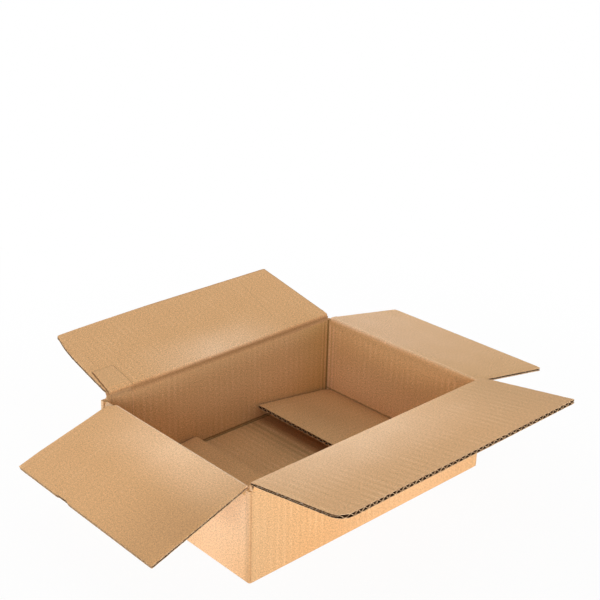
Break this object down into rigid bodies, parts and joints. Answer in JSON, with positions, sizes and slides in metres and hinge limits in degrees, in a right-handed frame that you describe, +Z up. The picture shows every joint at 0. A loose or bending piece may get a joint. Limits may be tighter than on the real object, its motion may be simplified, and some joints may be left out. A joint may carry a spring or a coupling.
{
  "type": "bottle shipping box",
  "caption": "Open regular slotted carton of corrugated kraft board, with hinged top flaps folded outwards and inner base flaps.",
  "frame": {"origin": "middle of the carton's footprint, on the surface that it stands on", "axes": "+X along the long walls, +Y across towards the back wall with the glue tab, +Z up"},
  "size_m": [0.5167, 0.428, 0.1243],
  "materials": {
    "kraft_board": "matt unbleached kraft paper"
  },
  "bodies": {
    "carton": {"carton_body": "kraft_board"},
    "top_flap_front": {"top_flap_front": "kraft_board"},
    "top_flap_back": {"top_flap_back": "kraft_board"},
    "top_flap_left": {"top_flap_left": "kraft_board"},
    "top_flap_right": {"top_flap_right": "kraft_board"},
    "inner_flap_left": {"inner_flap_left": "kraft_board"},
    "inner_flap_right": {"inner_flap_right": "kraft_board"}
  },
  "joints": [
    {"name": "front_flap_fold", "type": "hinge", "parent": "carton", "child": "top_flap_front", "pos_m": [0, -0.108, 0.1], "axis": [1, 0, 0], "range_deg": [-170.5, 59.5]},
    {"name": "back_flap_fold", "type": "hinge", "parent": "carton", "child": "top_flap_back", "pos_m": [0, 0.108, 0.1], "axis": [-1, 0, 0], "range_deg": [-168, 62]},
    {"name": "left_flap_fold", "type": "hinge", "parent": "carton", "child": "top_flap_left", "pos_m": [-0.154, 0, 0.0951], "axis": [0, -1, 0], "range_deg": [-198.5, 31.5]},
    {"name": "right_flap_fold", "type": "hinge", "parent": "carton", "child": "top_flap_right", "pos_m": [0.154, 0, 0.0951], "axis": [0, 1, 0], "range_deg": [-190.5, 39.5]},
    {"name": "inner_left_flap_lift", "type": "hinge", "parent": "carton", "child": "inner_flap_left", "pos_m": [-0.1505, 0, 0.0063], "axis": [0, -1, 0], "range_deg": [-4, 76]},
    {"name": "inner_right_flap_lift", "type": "hinge", "parent": "carton", "child": "inner_flap_right", "pos_m": [0.1505, 0, 0.0063], "axis": [0, 1, 0], "range_deg": [-8, 72]}
  ]
}
